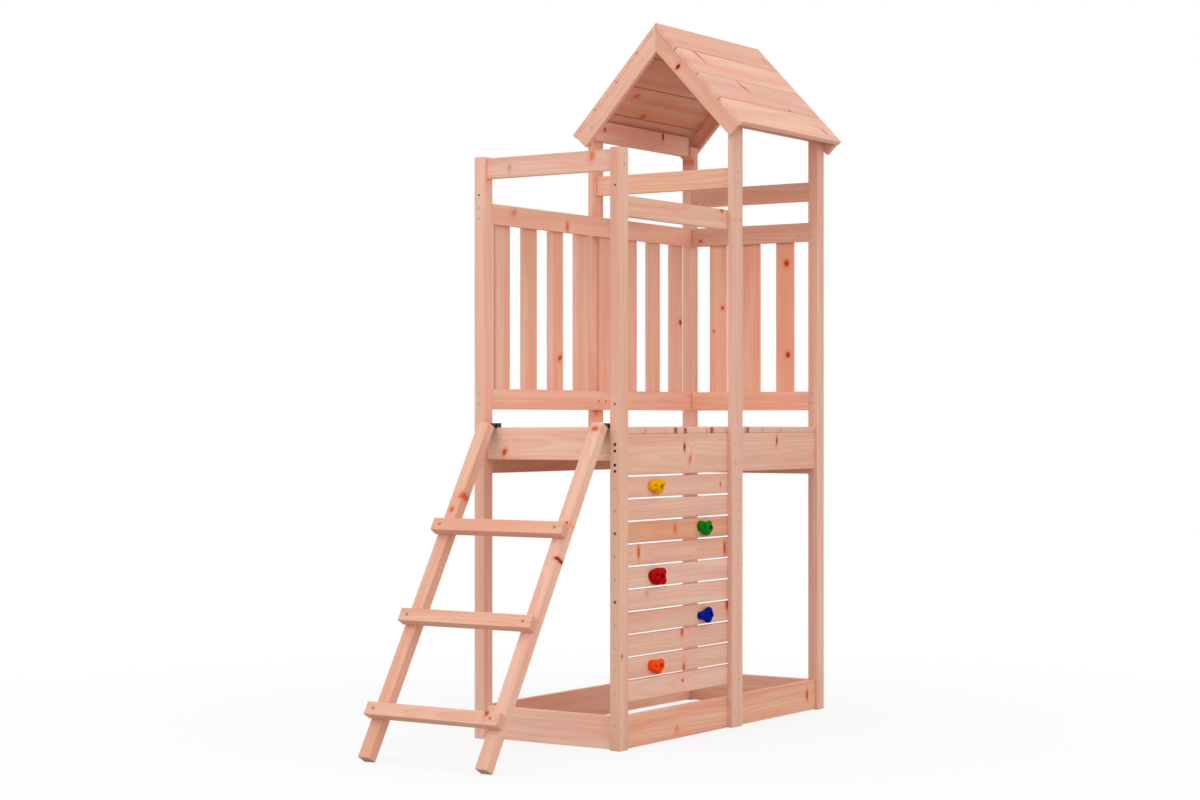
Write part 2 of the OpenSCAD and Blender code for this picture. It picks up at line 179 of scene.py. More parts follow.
def length(tree, a, b):
    """Root of the sum of two squares."""
    squares = calc(tree, "ADD", calc(tree, "POWER", a, 2.0), calc(tree, "POWER", b, 2.0))
    return calc(tree, "SQRT", squares)


def vector(tree, operation, a, b):
    """One step of arithmetic on vectors."""
    return add_node(tree, "VectorMath", {0: a, 1: b}, operation=operation).outputs[0]


def split(tree, value):
    """The three parts of a vector."""
    return add_node(tree, "SeparateXYZ", {0: value}).outputs[:]


def join(tree, x, y, z=0.0):
    """A vector from its three parts."""
    return add_node(tree, "CombineXYZ", {0: x, 1: y, 2: z}).outputs[0]


def stored(tree, name):
    """A vector stored on the mesh."""
    return add_node(tree, "Attribute", attribute_name=name).outputs["Vector"]


def smooth(tree, value, start, end):
    """Rises smoothly from 0 at start to 1 at end."""
    inputs = {"Value": value, "From Min": start, "From Max": end}
    return add_node(tree, "MapRange", inputs, interpolation_type="SMOOTHSTEP").outputs[0]


def noise(tree, place, scale, detail=2.0, rough=0.5):
    """Smooth noise from 0 to 1."""
    inputs = {"Vector": place, "Scale": scale, "Detail": detail, "Roughness": rough}
    return add_node(tree, "TexNoise", inputs).outputs[0]


def rgba(colour):
    """A colour with full cover, or the socket that gives one."""
    return colour if isinstance(colour, bpy.types.NodeSocket) else (*colour, 1)


def mix(tree, share, a, b):
    """Colour a, turned into colour b by a share."""
    inputs = {0: share, 6: rgba(a), 7: rgba(b)}
    return add_node(tree, "Mix", inputs, data_type="RGBA", clamp_factor=True).outputs[2]


def bump(tree, height, strength, depth):
    """The surface's direction, roughened by a height."""
    inputs = {"Height": height, "Strength": strength, "Distance": depth}
    return add_node(tree, "Bump", inputs).outputs[0]


def new_material(name):
    """A material with its shader ready to be linked."""
    made = bpy.data.materials.new(name)
    made.use_nodes = True
    return made, made.node_tree, made.node_tree.nodes["Principled BSDF"]


FINISHES = {}


def finish_of(name, maker, *values):
    """The material of that name, made once."""
    if name not in FINISHES:
        FINISHES[name] = maker(name, *values)
    return FINISHES[name]


# Fir's noises: how each is squeezed along, across and through a board, then its detail and roughness

FIR_NOISES = {
    "wander": ((1.6, 9.0, 9.0), 2.0, 0.5), "streak": ((1.1, 26.0, 26.0), 3.0, 0.55),
    "broad": ((0.9, 7.0, 7.0), 1.0, 0.5), "fibre": ((11.0, 620.0, 620.0), 2.0, 0.5),
    "patch": ((3.2, 15.0, 15.0), 2.0, 0.5),
}

# Colours laid over the early wood, in order: the noise that spreads one, where it starts and is full, share

FIR_COLOURS = (
    ("rose", "streak", 0.36, 0.68, 1.0), ("rose", "broad", 0.4, 0.75, 0.45),
    ("blush", "patch", 0.5, 0.75, 0.5), ("honey", "patch", 0.45, 0.2, 0.5),
    ("late", "fibre", 0.5, 0.8, 0.12),
)
SEED_SKEW = 1.7

# Rings: sway of their radius, where in a ring its line rises and falls, and the line's share

RING_SWAY, RING_RISE, RING_FALL, RING_SHARE = 0.03, (0.25, 0.9), (1.0, 0.93), 0.27
END_SHARE = 0.55

# Knots, in knot radii from their middle: where each effect starts and is full, and how much of it there is

KNOT_LETTERS = "abc"
RIPPLE_SCALE, RIPPLE = 130.0, 0.35
PUSH_REACH, PUSH = (5.0, 0.6), 0.012
HALO_REACH, HALO_SHARE = (2.6, 0.9), 0.5
HEART_REACH, CORE_REACH = (1.2, 0.55), (1.3, 0.7)

# Surface of fir: roughness and how rings and knots change it, gloss, and the relief in metres and as shares

FIR_ROUGH, RING_SHEEN, KNOT_SHEEN, FIR_GLOSS = 0.62, -0.08, -0.14, 0.16
FIR_BUMP, FIR_RELIEF, FIBRE_RELIEF, RING_RELIEF = 0.3, 0.0004, 0.6, 0.5


def knot_reach(tree, grain, name, ripple):
    """Distance from a knot's middle in knot radii, stretched and turned as the board's own values say."""
    place = stored(tree, name)
    turn, stretch, dark = split(tree, stored(tree, name + "_form"))
    u, v, _ = split(tree, vector(tree, "SUBTRACT", grain, place))
    _, _, radius = split(tree, place)
    flat = add_node(tree, "VectorRotate", {0: join(tree, u, v), "Angle": turn}, rotation_type="Z_AXIS")
    u, v, _ = split(tree, flat.outputs[0])
    along = calc(tree, "DIVIDE", u, times(tree, radius, stretch))
    across = calc(tree, "DIVIDE", v, radius)
    return calc(tree, "ADD", length(tree, along, across), ripple), dark


def ring_lines(tree, grain, pith, pitch, wander, nearest):
    """The dark line that ends each growth ring, from 0 to 1.

    The distance from the pith, swayed by a slow wander and pushed outwards round knots, is counted in ring
    pitches. Of its fraction, the line rises slowly through the ring and falls fast at its end.
    """
    _, v, w = split(tree, grain)
    radius = length(tree, calc(tree, "ADD", v, pith[0]), calc(tree, "ADD", w, pith[1]))
    radius = calc(tree, "MULTIPLY_ADD", wander, RING_SWAY, radius)
    radius = calc(tree, "MULTIPLY_ADD", smooth(tree, nearest, *PUSH_REACH), PUSH, radius)
    part = calc(tree, "FRACT", calc(tree, "DIVIDE", radius, pitch))
    return times(tree, smooth(tree, part, *RING_RISE), smooth(tree, part, *RING_FALL))


def fir_material(name, fir):
    """Fir: rings round a pith beside the board, streaks, fine fibres, and up to three knots a board."""
    made, tree, shader = new_material(name)
    grain = stored(tree, "grain")
    seed, *pith = split(tree, stored(tree, "pith"))
    tone, pitch, ended = split(tree, stored(tree, "board"))
    full, _, _ = split(tree, stored(tree, "cast"))
    moved = vector(tree, "ADD", grain, join(tree, seed, times(tree, seed, SEED_SKEW), seed))
    noises = {
        key: noise(tree, vector(tree, "MULTIPLY", moved, squeeze), 1.0, detail, rough)
        for key, (squeeze, detail, rough) in FIR_NOISES.items()
    }
    ripple = calc(tree, "MULTIPLY_ADD", noise(tree, moved, RIPPLE_SCALE), 2 * RIPPLE, -RIPPLE)
    knots = [knot_reach(tree, grain, "knot_" + letter, ripple) for letter in KNOT_LETTERS]
    nearest = knots[0][0]
    for reach, _ in knots[1:]:
        nearest = calc(tree, "MINIMUM", nearest, reach)
    ring = ring_lines(tree, grain, pith, pitch, noises["wander"], nearest)

    colour = fir.pale
    for tint, key, start, end, share in FIR_COLOURS:
        cover = times(tree, smooth(tree, noises[key], start, end), share)
        colour = mix(tree, cover, colour, getattr(fir, tint))
    colour = mix(tree, times(tree, ring, RING_SHARE), colour, fir.late)
    colour = mix(tree, times(tree, ended, END_SHARE), colour, fir.end_grain)
    for reach, dark in knots:
        clear = calc(tree, "ADD", calc(tree, "MINIMUM", dark, 0.0), 1.0)
        halo = times(tree, smooth(tree, reach, *HALO_REACH), HALO_SHARE)
        colour = mix(tree, times(tree, halo, clear), colour, fir.halo)
        heart = mix(tree, dark, fir.knot, fir.dark_knot)
        colour = mix(tree, times(tree, smooth(tree, reach, *HEART_REACH), clear), colour, heart)
    # Value and saturation give each board its own tone and its painted light and shade
    toned = add_node(tree, "HueSaturation", {"Color": colour, "Value": tone, "Saturation": full})

    core = smooth(tree, nearest, *CORE_REACH)
    rough = calc(tree, "MULTIPLY_ADD", ring, RING_SHEEN, FIR_ROUGH)
    height = calc(tree, "MULTIPLY_ADD", ring, RING_RELIEF, core)
    height = calc(tree, "MULTIPLY_ADD", noises["fibre"], FIBRE_RELIEF, height)
    feed(tree, shader, {
        "Base Color": toned.outputs[0],
        "Roughness": calc(tree, "MULTIPLY_ADD", core, KNOT_SHEEN, rough),
        "Specular IOR Level": FIR_GLOSS,
        "Normal": bump(tree, height, FIR_BUMP, FIR_RELIEF),
    })
    return made


# Plastic: scale, range, share and depth of its clouds, scale and surface of its sand, and its own surface

CLOUD_SCALE, CLOUD_RANGE, CLOUD_SHARE, CLOUD_DEEP = 60.0, (0.35, 0.75), 0.5, 0.62
SAND_SCALE, SAND_ROUGH, SAND_BUMP, SAND_RELIEF = 900.0, 0.25, 0.35, 0.0005
PLASTIC_ROUGH, PLASTIC_GLOSS = 0.36, 0.06


def plastic_material(name, rgb):
    """Moulded sandy plastic: one colour with faint clouds, and a fine grain on the surface."""
    made, tree, shader = new_material(name)
    place = add_node(tree, "TexCoord").outputs["Object"]
    cloud = smooth(tree, noise(tree, place, CLOUD_SCALE, detail=3.0), *CLOUD_RANGE)
    deep = tuple(CLOUD_DEEP * c for c in rgb)
    sand = noise(tree, place, SAND_SCALE, rough=0.6)
    feed(tree, shader, {
        "Base Color": mix(tree, times(tree, cloud, CLOUD_SHARE), rgb, deep),
        "Roughness": calc(tree, "MULTIPLY_ADD", sand, SAND_ROUGH, PLASTIC_ROUGH),
        "Specular IOR Level": PLASTIC_GLOSS,
        "Normal": bump(tree, sand, SAND_BUMP, SAND_RELIEF),
    })
    return made


# Steel: share of metal, least roughness and clouds' scale of each coat, then what all coats have

ZINC, STRAP = (1.0, 0.3, 400.0), (0.0, 0.42, 220.0)
# Near-black that a head is mixed towards: painted shade on dark screws and pilot holes, plain darkening
# elsewhere
DARKENED_STEEL = (0.02, 0.012, 0.009)
COAT_RANGE, COAT_DEEP, COAT_SWING = (0.3, 0.75), 0.6, 0.3
COAT_SKIN, COAT_BUMP, COAT_RELIEF = 6, 0.2, 0.0003


def metal_material(name, rgb, metallic, rough, scale):
    """Plated or coated steel: cloudy roughness and colour, a skin of grain, mixed towards near-black by a
    stored
    share: painted shade on the dark screws and pilot holes, and a plain darkening of the ladder screws and
    bolts.
    """
    made, tree, shader = new_material(name)
    place = add_node(tree, "TexCoord").outputs["Object"]
    cloud = noise(tree, place, scale, detail=3.0, rough=0.6)
    deep = tuple(COAT_DEEP * c for c in rgb)
    colour = mix(tree, smooth(tree, cloud, *COAT_RANGE), rgb, deep)
    tarnish, _, _ = split(tree, stored(tree, "tarnish"))
    feed(tree, shader, {
        "Base Color": mix(tree, tarnish, colour, DARKENED_STEEL),
        "Roughness": calc(tree, "MULTIPLY_ADD", cloud, COAT_SWING, rough),
        "Metallic": metallic,
        "Normal": bump(tree, noise(tree, place, scale * COAT_SKIN), COAT_BUMP, COAT_RELIEF),
    })
    return made


# Meshes: the grid on which points are one, and the least and most length of an eased corner as shares

POINTS_PER_M = 1e5
CORNER_LEAST, CORNER_MOST = 0.3, 0.45


def solids_of(node):
    """Corner points of each separate solid of a node.

    Points on the same step of a fine grid are one. Each starts with its own label. Points of one
    triangle take the lowest label among them, until no label changes, so that a solid ends with one label.
    """
    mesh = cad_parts[node].data
    points = np.empty(3 * len(mesh.vertices), np.float32)
    mesh.vertices.foreach_get("co", points)
    corner = np.empty(len(mesh.loops), np.int32)
    mesh.loops.foreach_get("vertex_index", corner)
    points = points.reshape(-1, 3).astype(float)
    steps = np.round(points * POINTS_PER_M)
    _, first, same = np.unique(steps, axis=0, return_index=True, return_inverse=True)
    triangles = same.reshape(-1)[corner].reshape(-1, 3)
    label = np.arange(len(first))
    while True:
        lowest = label.copy()
        np.minimum.at(lowest, triangles.ravel(), np.repeat(label[triangles].min(axis=1), 3))
        if (lowest == label).all():
            break
        label = lowest
    return [points[first][label == k] for k in np.unique(label)]


def eased(corners, inset, radius):
    """An outline moved inwards by an inset, with each corner replaced by a three-point curve.

    A corner moves by inset / sin(angle) along both of its edges. The curve is a quadratic one from edge
    to edge with the corner as its middle handle, no longer than a share of the shorter edge.
    """
    def edges(points):
        back, ahead = np.roll(points, 1, axis=0) - points, np.roll(points, -1, axis=0) - points
        lengths = np.stack([np.linalg.norm(back, axis=1), np.linalg.norm(ahead, axis=1)])
        return back / lengths[0][:, None], ahead / lengths[1][:, None], lengths.min(axis=0)

    back, ahead, _ = edges(corners)
    sine = ahead[:, 0] * back[:, 1] - ahead[:, 1] * back[:, 0]
    points = corners + inset * (back + ahead) / sine[:, None]
    back, ahead, shorter = edges(points)
    reach = np.minimum(max(radius - inset, radius * CORNER_LEAST), CORNER_MOST * shorter)[:, None]
    middle = points + reach * (back + ahead) / 4
    return np.stack([points + reach * back, middle, points + reach * ahead], axis=1).reshape(-1, 2)


def tube_quads(rings, count, tubes=1):
    """Quads between neighbouring rings of count points each, which follow one another in every tube."""
    tube, ring, step = np.meshgrid(np.arange(tubes), np.arange(rings - 1), np.arange(count), indexing="ij")
    low = (tube * rings + ring) * count
    after = (step + 1) % count
    quads = np.stack([low + step, low + after, low + count + after, low + count + step], axis=-1)
    return quads.reshape(-1, 4)


def carried(rings, depths):
    """A closed shape: equal rings of outline points, one at each depth, joined by quads and capped."""
    count = len(rings[0])
    depth = np.repeat(np.asarray(depths, float), count)[:, None]
    points = np.hstack([np.concatenate(rings), depth])
    first = np.arange(count)[::-1]
    last = np.arange(count) + (len(rings) - 1) * count
    return points, tube_quads(len(rings), count).tolist() + [first.tolist(), last.tolist()]


def joined(shapes):
    """The points and the faces of separate shapes, each as one list."""
    starts = np.cumsum([0] + [len(points) for points, _ in shapes]).tolist()
    faces = [[start + i for i in face] for start, (_, own) in zip(starts, shapes) for face in own]
    return np.concatenate([points for points, _ in shapes]), faces


def prism(corners, low, high, arris):
    """An outline carried from low to high, its edges eased by a quarter round of three rings at each end."""
    part = 1 - math.sqrt(0.5)
    inset = np.array([1, part, 0, 0, part, 1]) * arris
    depths = [low, low + part * arris, low + arris, high - arris, high - part * arris, high]
    return carried([eased(corners, i, arris) for i in inset], depths)


def rectangle(low, high):
    """The four corners between two opposite ones, turning left."""
    return np.array([[low[0], low[1]], [high[0], low[1]], [high[0], high[1]], [low[0], high[1]]])


def outline(points, apart=0.003):
    """Points round their middle in order of angle, without those close behind another."""
    points = np.unique(np.round(points, 5), axis=0)
    middle = (points.min(axis=0) + points.max(axis=0)) / 2
    turn = np.arctan2(*(points - middle).T[::-1])
    points = points[np.argsort(turn)]
    return points[np.linalg.norm(points - np.roll(points, 1, axis=0), axis=1) > apart]


def board_axes(points):
    """Directions along, across and through a board: its corners' main directions, longest first."""
    _, turned = np.linalg.eigh(np.cov((points - points.mean(axis=0)).T))
    axes = turned.T[::-1]
    axes = axes * np.where(axes[np.arange(3), np.abs(axes).argmax(axis=1)] < 0, -1, 1)[:, None]
    axes[2] *= np.sign(np.linalg.det(axes))
    return axes


def straight_board(points, arris, axes=None):
    """A plain board: its cross-section carried along its length."""
    axes = board_axes(points) if axes is None else axes
    local = points @ axes.T
    low, high = local.min(axis=0), local.max(axis=0)
    made, faces = prism(rectangle(low[1:], high[1:]), low[0], high[0], arris)
    return made[:, [2, 0, 1]] @ axes, faces, axes


def section_board(points, arris, axes):
    """A board with a slanted edge: its own cross-section carried along its length."""
    local = points @ axes.T
    made, faces = prism(outline(local[:, 1:]), local[:, 0].min(), local[:, 0].max(), arris)
    return made[:, [2, 0, 1]] @ axes, faces, axes


def face_board(points, arris, axes):
    """A board with shaped ends: the outline of its broad face carried through its thickness."""
    local = points @ axes.T
    made, faces = prism(outline(local[:, :2]), local[:, 2].min(), local[:, 2].max(), arris)
    return made @ axes, faces, axes


# Knots that are seen, in millimetres: place, radius, stretch along the turned axis, turn in degrees,
# darkness or, below zero, faintness

KNOTS = {
    "rafter_front_right": [(74, 248, 1857, 6.5, 1.5, 90, 0.95)],
    "roof_planks_right": [
        (83, 340, 1902, 6, 4.5, 62, 0.1), (163, 463, 1817, 6, 4, 60, 0.25),
        (41, 791, 1946, 5, 2, 60, 0.1), (261, 767, 1714, 5, 3, 60, 0.1),
        (211, 648, 1767, 5, 1.6, 40, 0.1),
    ],
    "roof_planks_left": [(-153, 387, 1807, 9, 1.3, 0, -0.35), (-196, 489, 1762, 10, 1.6, 0, -0.35)],
    "eave_plate_back": [(-212, 307, 1704, 6, 1.1, 0, 0.6), (-212, 622, 1716, 7, 1.8, 90, 0.95)],
    "handrail_ladder": [(140, -282, 1552, 9, 1.7, 80, -0.35), (-128, -282, 1537, 6, 1.4, 90, -0.55)],
    "post_far_back": [(-204, 779, 1652, 10, 1.4, 0, -0.15)],
    "ladder_rail_right": [
        (201, -514, 504, 6, 1.9, 90, 0.8), (184, -333, 838, 7, 1.7, 90, 0),
        (193, -477, 599, 4.5, 1.5, 90, 0.35),
    ],
    "ladder_rail_left": [(-168, -425, 654, 9, 1.3, 60, -0.2), (-185, -461, 626, 6, 1.3, 0, -0.1)],
    "ladder_rung_1": [(168, -781, 148, 6.5, 1.7, 90, 0.3)],
    "apron_ladder": [(-144, -282, 774, 7, 1.4, 60, 0.2)],
    "apron_front": [
        (228, 36, 787, 5.5, 2.2, 90, 0.9), (228, 65, 755, 6, 2, 70, -0.2),
        (228, 541, 800, 5.5, 2.4, 85, 0.6),
    ],
    "platform_planks": [
        (228, -9, 830, 6, 1.5, 90, 0.6), (228, 41, 830, 6, 1.5, 90, 0.7),
        (228, 179, 829, 6, 1.6, 90, 0.6), (228, 374, 829, 6, 1.5, 90, 0.6),
    ],
    "wall_board_1": [(228, 225, 682, 3.5, 2.4, 90, 0.3)],
    "wall_board_3": [(228, -12, 567, 8, 1.5, 90, -0.5)],
    "wall_board_4": [(228, -193, 513, 6, 3.2, 90, 0.1), (228, 248, 505, 7, 3, 90, 0.2)],
    "wall_board_6": [(228, -152, 402, 8, 1.3, 0, -0.6)],
    "wall_board_7": [(228, 260, 345, 8, 1.9, 90, 0.25)],
    "wall_board_8": [(228, 23, 287, 7, 2, 90, 0.25)],
    "wall_board_9": [(228, 32, 189, 7, 2.2, 90, 0.2)],
    "wall_board_10": [(228, 26, 155, 5, 1.2, 0, 0.4)],
    "post_ladder_front": [(236, -284.6, 247, 4.2, 1.3, 0, 0.6)],
    "sandbox_board_front": [(228, 721, 49, 6, 2.6, 90, 0.4), (228, -3, 27, 9, 1.4, 30, -0.65)],
    "fence_slats_back": [(-216, 727, 1159, 8, 1.2, 0, 0.85), (-216, 83, 1036, 8, 1.4, 60, 0.3)],
    "fence_slats_far": [(124, 783, 1330, 9, 1.3, 0, 0.35), (129, 783, 1056, 8, 1.2, 0, 0.45)],
    "fence_rail_far_upper": [(-171, 771, 1408, 5, 1.2, 0, 0.2)],
    "fence_rail_back_upper": [(-204, -155, 1429, 10, 1.6, 40, -0.5), (-204, 103, 1408, 7, 2.2, 90, -0.15)],
    "handrail_wall": [(228, 233, 1443, 6, 1.2, 0, 0.3)],
    "post_mid_back": [(-228, 284, 883, 10, 1.3, 0, -0.5)],
}
NO_KNOT = (9.0, 9.0, 0.001)

# Boards made lighter or darker and fuller or paler than the rest: value, saturation. Partly each board's own
# tone, partly painted light and shade that makes up for the light that its faces get

BOARD_TONES_AND_PAINTED_LIGHT = {
    "post_ladder_back": (1.12, 0.90), "post_ladder_front": (1.02, 1.05), "post_far_back": (1.03, 0.98),
    "post_far_front": (1.0, 0.97), "post_mid_back": (1.08, 1.0), "post_mid_front": (0.96, 0.90),
    "sandbox_board_ladder": (1.15, 0.91), "sandbox_board_front": (1.02, 1.13),
    "sandbox_board_back": (1.16, 1.0), "apron_ladder": (1.10, 1.03), "apron_front": (1.02, 0.985),
    "platform_planks": (1.09, 0.90),
    "wall_board_3": (0.92, 1.16), "wall_board_4": (0.97, 1.0), "wall_board_5": (1.01, 0.90),
    "wall_board_6": (1.02, 0.95), "wall_board_7": (0.96, 0.98), "wall_board_9": (1.02, 0.945),
    "wall_board_10": (1.02, 0.91), "fence_slats_back": (1.03, 0.95), "fence_slats_far": (1.08, 1.02),
    "fence_rail_back_upper": (1.12, 0.97), "fence_rail_back_lower": (1.03, 0.96),
    "fence_rail_far_upper": (0.91, 1.03), "fence_rail_far_lower": (1.07, 1.0),
    "handrail_ladder": (1.01, 0.96), "handrail_middle": (0.99, 1.10), "handrail_far": (0.89, 1.03),
    "rafter_front_left": (1.05, 0.97), "roof_planks_left": (0.92, 1.12),
    "roof_planks_right": (0.99, 0.99), "eave_plate_back": (1.10, 0.97),
    "ladder_rail_left": (1.0, 1.01), "ladder_rail_right": (1.0, 0.99), "ladder_rung_1": (1.03, 0.95),
    "ladder_rung_2": (0.98, 1.08), "ladder_rung_3": (0.99, 1.06),
}

# Cut ends that are seen as pale as the faces beside them: value, saturation

PALE_ENDS = {"roof_planks_left": (1.04, 0.97), "roof_planks_right": (1.04, 0.97)}

# Made-up knots: how likely each is on a board without seen ones, its radius, stretch and most darkness

MADE_UP, MADE_UP_R, MADE_UP_STRETCH, MADE_UP_DARK = 0.09, (0.003, 0.006), (1.0, 1.6), 0.5

# A board's own draws: seed of its noises, its pith's place across and away, and ranges of tone, ring
# pitch and saturation as shares. A face that points along the grain by more than a share is a cut end

SEED_MOST, PITH_ACROSS, PITH_AWAY = 40, 0.06, (0.02, 0.09)
TONES, PITCHES, FULLNESS = (0.965, 1.03), (0.7, 1.4), (0.96, 1.04)
END_FACING = 0.8


def knots_of(node, index, centres, middles, axes, spans, rng):
    """The knots of one board, those seen nearest to it or else made-up ones, as places and forms."""
    places, forms = [], []
    for *place, radius, stretch, turn, dark in KNOTS.get(node, ()):
        away = np.array(place) * MM - centres
        if np.abs(away / middles).max(axis=1).argmin() == index:
            u, v, _ = axes @ away[index]
            places.append((u, v, radius * MM))
            forms.append((-math.radians(turn), stretch, dark))
    seen = len(places) > 0
    while len(places) < len(KNOT_LETTERS):
        u, v = (rng.random(2) - 0.5) * spans[:2]
        chosen = rng.random() < MADE_UP and not seen
        places.append((u, v, rng.uniform(*MADE_UP_R)) if chosen else NO_KNOT)
        forms.append((rng.uniform(0, math.pi), rng.uniform(*MADE_UP_STRETCH), rng.uniform(0, MADE_UP_DARK)))
    return places, forms


def new_piece(name, points, faces, material, slot, *replaced):
    """Puts arrays into a mesh that rides on the frame and stands for the named nodes."""
    mesh = bpy.data.meshes.new(name)
    mesh.from_pydata(np.asarray(points).tolist(), [], faces)
    mesh.materials.append(material)
    mesh.polygons.foreach_set("use_smooth", np.ones(len(mesh.polygons), bool))
    made = bpy.data.objects.new(name, mesh)
    bpy.context.scene.collection.objects.link(made)
    made.modifiers.new("even_normals", "WEIGHTED_NORMAL")
    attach(made, BODY)
    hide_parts(*replaced)
    return made


def store(mesh, name, domain, values):
    """Stores a vector for each point or face of a mesh."""
    layer = mesh.attributes.new(name, "FLOAT_VECTOR", domain)
    layer.data.foreach_set("vector", np.asarray(values, np.float32).ravel())


def face_normals(points, faces):
    """Unit normal of each face: its first to its middle corner, crossed with its second to its last."""
    first, second, middle, last = np.array([[f[0], f[1], f[len(f) // 2], f[-1]] for f in faces]).T
    cross = np.cross(points[middle] - points[first], points[last] - points[second])
    return cross / np.maximum(np.linalg.norm(cross, axis=1), 1e-12)[:, None]


def fir_piece(context, node, boards):
    """One wooden piece of one or more boards, each with its own run of grain, rings and knots."""
    fir = context.scene.frame_fir
    rng = np.random.default_rng(zlib.crc32(node.encode()))
    boxes = np.array([(made.min(axis=0), made.max(axis=0)) for made, _, _ in boards])
    centres, middles = boxes.mean(axis=1), np.ptp(boxes, axis=1) / 2
    grain, layers = [], []
    for index, (made, loops, axes) in enumerate(boards):
        local = (made - centres[index]) @ axes.T
        places, forms = knots_of(node, index, centres, middles, axes, np.ptp(local, axis=0), rng)
        seed, across = rng.uniform(0, SEED_MOST), rng.uniform(-PITH_ACROSS, PITH_ACROSS)
        away = rng.choice([-1, 1]) * rng.uniform(*PITH_AWAY)
        tone, pitch = rng.uniform(*TONES), fir.ring_pitch * rng.uniform(*PITCHES)
        full = rng.uniform(*FULLNESS)
        count = len(loops)
        ended = np.abs(face_normals(made, loops) @ axes[0]) > END_FACING
        # Value and saturation that hold the board's own tone and its painted light and shade
        cast = np.tile(BOARD_TONES_AND_PAINTED_LIGHT.get(node, (1.0, 1.0)), (count, 1))
        if node in PALE_ENDS:
            cast[ended] = PALE_ENDS[node]
            ended = np.zeros(count)
        layer = {
            "pith": np.tile((seed, across, away), (count, 1)),
            "board": np.stack([tone * cast[:, 0], np.full(count, pitch), ended], axis=1),
            "cast": np.repeat(full * cast[:, 1:], 3, axis=1),
        }
        for letter, place, form in zip(KNOT_LETTERS, places, forms):
            layer[f"knot_{letter}"] = np.tile(place, (count, 1))
            layer[f"knot_{letter}_form"] = np.tile(form, (count, 1))
        grain.append(local)
        layers.append(layer)
    points, faces = joined([board[:2] for board in boards])
    piece = new_piece("fir." + node, points, faces, finish_of("fir", fir_material, fir), "fir", node)
    store(piece.data, "grain", "POINT", np.concatenate(grain))
    for name in layers[0]:
        store(piece.data, name, "FACE", np.concatenate([layer[name] for layer in layers]))


def straight_pieces(context, *nodes):
    """Wooden pieces whose boards are all straight and square."""
    for node in nodes:
        arris = context.scene.frame_fir.arris
        fir_piece(context, node, [straight_board(s, arris) for s in solids_of(node)])


def slope_down(points):
    """Direction down a roof slope, from the longest edge of its outline seen along the tower."""
    flat = outline(points[:, [0, 2]])
    edge = np.roll(flat, -1, axis=0) - flat
    down = edge[np.linalg.norm(edge, axis=1).argmax()]
    down = down / np.linalg.norm(down) * -np.sign(down[1])
    return np.array([down[0], 0, down[1]])


# Round pieces: a head that faces more upright than this takes its side from X

UPRIGHT = 0.9


def heads(places, outs, radii, heights, segments, dent=None, sizes=1.0):
    """Round heads: radii and heights by ring, the dented rings pulled in to a star of arms.

    A point is place + r (cos t, sin t) in the face's plane + h outwards, where r of a dented ring is cut
    by a share that swings with the cosine of t times the arms.
    """
    turn = np.arange(segments) * 2 * math.pi / segments
    side = np.where(np.abs(outs @ Z)[:, None] < UPRIGHT, np.cross(Z, outs), X)
    side = side / np.linalg.norm(side, axis=1)[:, None]
    other = np.cross(outs, side)
    arms, depth, share = dent or (0, 0.0, np.zeros(len(radii)))
    swing = 1 - np.outer(share, (1 - np.cos(arms * turn)) / 2)
    ring = radii[:, None] * swing
    flat = (
        (ring * np.cos(turn))[None, :, :, None] * side[:, None, None, :]
        + (ring * np.sin(turn))[None, :, :, None] * other[:, None, None, :]
    )
    rise = (heights - depth)[None, :, None, None] * outs[:, None, None, :]
    points = (places[:, None, None, :] + flat * np.reshape(sizes, (-1, 1, 1, 1)) + rise).reshape(-1, 3)
    rings = len(radii)
    caps = (np.arange(len(places)) * rings + rings - 1)[:, None] * segments + np.arange(segments)
    return points, tube_quads(rings, segments, len(places)).tolist() + caps.tolist()


# Screw rings: shares of a head's radius and height, the share that its recess cuts, the recess's depth

SCREW_RADII = np.array([1.0, 0.97, 0.72, 0.50, 0.16])
SCREW_HEIGHTS = np.array([0.0, 0.55, 1.0, 1.0, 1.0])
SCREW_SHARES = np.array([0, 0, 0, 0.62, 0.3])
SCREW_DEPTHS = np.array([0, 0, 0, 0.15, 1.3])
SCREW_SEGMENTS, RECESS_ARMS = 12, 4


def screw_piece(context, name, places, outs, looks, *replaced):
    """Pan heads with a cross-shaped recess, one at each place, with its size and darkening as shares; the
    darkening of the dark screws and pilot holes is painted shade.
    """
    steel = context.scene.frame_steel
    dent = (RECESS_ARMS, SCREW_DEPTHS * steel.screw_h, SCREW_SHARES)
    points, faces = heads(
        places, outs, SCREW_RADII * steel.screw_r, SCREW_HEIGHTS * steel.screw_h, SCREW_SEGMENTS, dent,
        looks[:, 0],
    )
    zinc = finish_of("zinc", metal_material, tuple(steel.zinc), *ZINC)
    piece = new_piece(name, points, faces, zinc, "screw_steel", *replaced)
    darker_share = np.repeat(looks[:, 1:], 3, axis=1)
    rings = len(SCREW_RADII) - 1
    store(piece.data, "tarnish", "FACE", np.vstack([np.repeat(darker_share, rings * SCREW_SEGMENTS, axis=0), darker_share]))


def screw_places(node, middle):
    """Foot and outward direction of each screw head: its solid's thinnest direction, away from a middle."""
    solids = solids_of(node)
    centres = np.array([(s.min(axis=0) + s.max(axis=0)) / 2 for s in solids])
    outs = np.array([np.linalg.eigh(np.cov(s.T))[1][:, 0] for s in solids])
    outs *= np.where((outs * (centres - middle)).sum(axis=1) < 0, -1, 1)[:, None]
    high = np.array([np.ptp(s @ o) for s, o in zip(solids, outs)])
    return centres - outs * high[:, None] / 2, outs


# Faces that show more screws, and the middle of the ladder end's posts

FAR_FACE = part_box("post_far_front")[0][1]
LADDER_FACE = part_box("post_ladder_front")[0][1]
FENCE_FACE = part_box("fence_rail_back_lower")[1][0]
LADDER_POST_X = np.mean(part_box("post_ladder_front"), axis=0)[0]
